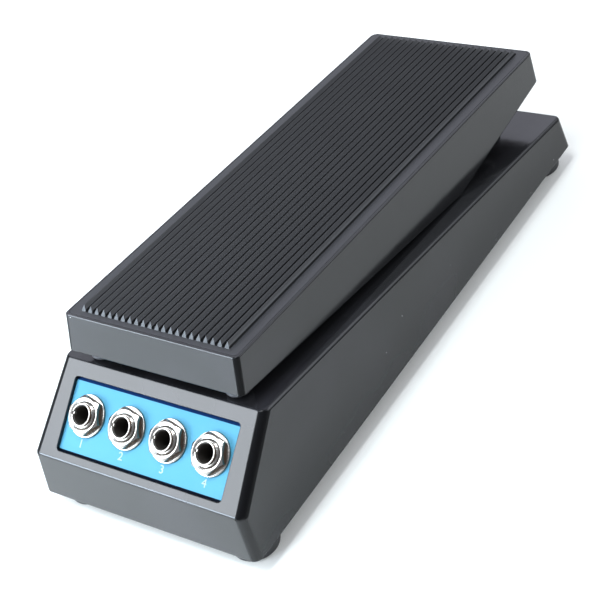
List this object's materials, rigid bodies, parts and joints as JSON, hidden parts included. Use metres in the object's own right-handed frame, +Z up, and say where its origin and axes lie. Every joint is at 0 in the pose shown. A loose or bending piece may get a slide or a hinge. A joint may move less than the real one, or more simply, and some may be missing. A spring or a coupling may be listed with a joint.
{
  "type": "volume pedal",
  "caption": "Rocking foot pedal for an instrument's volume: a ribbed treadle on a drafted base with jack sockets on a sloping front panel.",
  "frame": {"origin": "on the floor under the middle of the overall length and width, at the level of the feet", "axes": "+Z up; +Y from the toe end with the jacks to the heel end; +X across the pedal, to the right seen from the jack end"},
  "size_m": [0.0978, 0.2394, 0.0704],
  "materials": {
    "housing_plastic": "semi-gloss moulded black",
    "cover_plastic": "fine matt texture",
    "treadle_plastic": "semi-gloss moulded black",
    "mat_rubber": "black ribbed rubber",
    "foot_rubber": "matt black rubber",
    "stop_rubber": "smooth dark rubber",
    "plate_blue": "sky blue satin paint",
    "nickel": "bright nickel plate",
    "jack_plastic": "black moulded",
    "contact_metal": "tinned spring metal",
    "board_laminate": "tan laminate",
    "screw_steel": "zinc plated",
    "shaft_steel": "ground steel",
    "bush_nylon": "natural nylon",
    "gear_plastic": "natural acetal",
    "pot_metal": "plated can",
    "pot_shaft_alloy": "turned alloy",
    "lead_sheath": "grey sheath"
  },
  "bodies": {
    "base": {"base_housing": "housing_plastic", "bottom_cover": "cover_plastic", "bracket_screws": "screw_steel", "cover_screws": "screw_steel", "foot_front_left": "foot_rubber", "foot_front_right": "foot_rubber", "foot_rear_left": "foot_rubber", "foot_rear_right": "foot_rubber", "foot_screws": "screw_steel", "heel_stop_left": "stop_rubber", "heel_stop_right": "stop_rubber", "jack_board": "board_laminate", "jack_body_1": "jack_plastic", "jack_body_2": "jack_plastic", "jack_body_3": "jack_plastic", "jack_body_4": "jack_plastic", "jack_contact_1": "contact_metal", "jack_contact_2": "contact_metal", "jack_contact_3": "contact_metal", "jack_contact_4": "contact_metal", "jack_nut_1": "nickel", "jack_nut_2": "nickel", "jack_nut_3": "nickel", "jack_nut_4": "nickel", "jack_plate": "plate_blue", "jack_sleeve_1": "nickel", "jack_sleeve_2": "nickel", "jack_sleeve_3": "nickel", "jack_sleeve_4": "nickel", "jack_washer_1": "nickel", "jack_washer_2": "nickel", "jack_washer_3": "nickel", "jack_washer_4": "nickel", "pivot_clips": "shaft_steel", "pivot_shaft": "shaft_steel", "pot_bracket": "shaft_steel", "pot_case": "pot_metal", "pot_nut": "nickel", "pot_tags": "contact_metal", "pot_washer": "nickel", "signal_lead": "lead_sheath"},
    "treadle": {"pivot_bush_left": "bush_nylon", "pivot_bush_right": "bush_nylon", "quadrant": "gear_plastic", "quadrant_screws": "screw_steel", "toe_stop_left": "stop_rubber", "toe_stop_right": "stop_rubber", "tread_mat": "mat_rubber", "treadle_shell": "treadle_plastic"},
    "pot_rotor": {"pinion": "gear_plastic", "pot_shaft": "pot_shaft_alloy"}
  },
  "joints": [
    {"name": "treadle_rock", "type": "hinge", "parent": "base", "child": "treadle", "pos_m": [0, 0.04921, 0.04002], "axis": [1, 0, 0], "range_deg": [-12, 0]},
    {"name": "pot_turn", "type": "hinge", "parent": "base", "child": "pot_rotor", "pos_m": [0, -0.01469, 0.0235], "axis": [1, 0, 0], "range_deg": [0, 120]}
  ],
  "couplings": [
    {"joint": "pot_turn", "follows": "treadle_rock", "ratio": -10}
  ]
}
